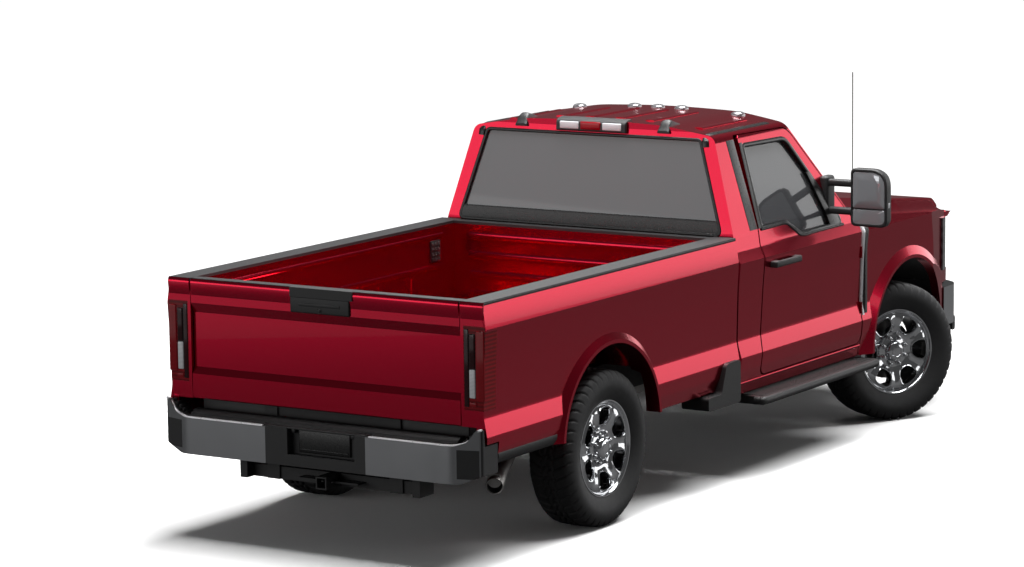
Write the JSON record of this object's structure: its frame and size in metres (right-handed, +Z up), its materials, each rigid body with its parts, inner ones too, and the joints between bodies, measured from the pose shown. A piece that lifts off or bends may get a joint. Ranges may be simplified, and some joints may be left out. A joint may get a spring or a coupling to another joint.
{
  "type": "pickup truck",
  "caption": "Heavy-duty regular-cab pickup truck with a long open bed, opening doors, hood and drop-down tailgate, steering front wheels and a receiver hitch.",
  "frame": {"origin": "ground level at mid length on the centre plane", "axes": "+X forward, +Y to the driver's left, +Z up"},
  "size_m": [5.888, 2.69, 2.172],
  "materials": {
    "aluminium": "satin",
    "black_plastic": "matte",
    "body_paint": "gloss metallic",
    "bright": "polished",
    "bumper_steel": "satin",
    "chassis_steel": "satin",
    "fabric": "matte",
    "glass": "gloss",
    "iron": "matte",
    "lamp": "gloss",
    "tyre": "matte"
  },
  "bodies": {
    "chassis": {"aerial": "black_plastic", "bed": "body_paint", "bedside_left": "body_paint", "bedside_right": "body_paint", "cab_glass": "glass", "cab_shell": "body_paint", "cab_trim": "black_plastic", "cargo_lamp": "black_plastic", "dashboard": "black_plastic", "driveline": "chassis_steel", "engine": "iron", "exhaust": "bumper_steel", "fender_left": "body_paint", "fender_right": "body_paint", "fender_vents": "black_plastic", "front_axle": "chassis_steel", "front_bumper": "bright", "fuel_tank": "black_plastic", "grille": "bright", "headlamps": "lamp", "hitch": "chassis_steel", "ladder_frame": "chassis_steel", "radiator": "aluminium", "rail_caps": "black_plastic", "rear_axle": "chassis_steel", "rear_bumper": "bumper_steel", "roof_lamps": "lamp", "seat": "fabric", "side_steps": "black_plastic", "spare_wheel": "tyre", "steering_wheel": "black_plastic", "suspension": "chassis_steel", "tail_lamps": "lamp", "wheel_liners": "black_plastic"},
    "door_left": {"door_left": "body_paint", "door_glass_left": "glass", "mirror_left": "black_plastic"},
    "door_right": {"door_right": "body_paint", "door_glass_right": "glass", "mirror_right": "black_plastic"},
    "hood": {"hood": "body_paint"},
    "tailgate": {"tailgate": "body_paint", "tailgate_cap": "black_plastic"},
    "knuckle_left": {"knuckle_left": "chassis_steel"},
    "knuckle_right": {"knuckle_right": "chassis_steel"},
    "tie_rod": {"tie_rod": "chassis_steel"},
    "wheel_front_left": {"tyre_front_left": "tyre", "rim_front_left": "bright"},
    "wheel_rear_left": {"tyre_rear_left": "tyre", "rim_rear_left": "bright"},
    "wheel_front_right": {"tyre_front_right": "tyre", "rim_front_right": "bright"},
    "wheel_rear_right": {"tyre_rear_right": "tyre", "rim_rear_right": "bright"}
  },
  "joints": [
    {"name": "door_left_hinge", "type": "hinge", "parent": "chassis", "child": "door_left", "pos_m": [1.327, 1.001, 0.9], "axis": [0, 0, -1], "range_deg": [0, 65]},
    {"name": "door_right_hinge", "type": "hinge", "parent": "chassis", "child": "door_right", "pos_m": [1.327, -1.001, 0.9], "axis": [0, 0, 1], "range_deg": [0, 65]},
    {"name": "hood_hinge", "type": "hinge", "parent": "chassis", "child": "hood", "pos_m": [1.46, 0, 1.35], "axis": [0, -1, 0], "range_deg": [0, 55]},
    {"name": "tailgate_hinge", "type": "hinge", "parent": "chassis", "child": "tailgate", "pos_m": [-2.822, 0, 0.762], "axis": [0, -1, 0], "range_deg": [0, 90]},
    {"name": "steer_right", "type": "hinge", "parent": "chassis", "child": "knuckle_right", "pos_m": [1.974, -0.773, 0.425], "axis": [0, 0, 1], "range_deg": [-6, 63]},
    {"name": "steer_left", "type": "hinge", "parent": "chassis", "child": "knuckle_left", "pos_m": [1.974, 0.773, 0.425], "axis": [0, 0, 1], "range_deg": [-6, 63]},
    {"name": "tie_rod_pivot", "type": "hinge", "parent": "knuckle_right", "child": "tie_rod", "pos_m": [2.13493, -0.8622, 0.465], "axis": [0, 0, 1], "range_deg": [-63, 6]},
    {"name": "spin_front_left", "type": "hinge", "parent": "knuckle_left", "child": "wheel_front_left", "pos_m": [2.03024, 0.87446, 0.425], "axis": [0.4848, 0.8746, 0], "continuous": true},
    {"name": "spin_front_right", "type": "hinge", "parent": "knuckle_right", "child": "wheel_front_right", "pos_m": [1.91776, -0.87446, 0.425], "axis": [0.4848, 0.8746, 0], "continuous": true},
    {"name": "spin_rear_left", "type": "hinge", "parent": "chassis", "child": "wheel_rear_left", "pos_m": [-1.623, 0.856, 0.425], "axis": [0, 1, 0], "continuous": true},
    {"name": "spin_rear_right", "type": "hinge", "parent": "chassis", "child": "wheel_rear_right", "pos_m": [-1.623, -0.856, 0.425], "axis": [0, 1, 0], "continuous": true}
  ],
  "couplings": [
    {"joint": "steer_left", "follows": "steer_right", "ratio": 1},
    {"joint": "tie_rod_pivot", "follows": "steer_right", "ratio": -1}
  ]
}
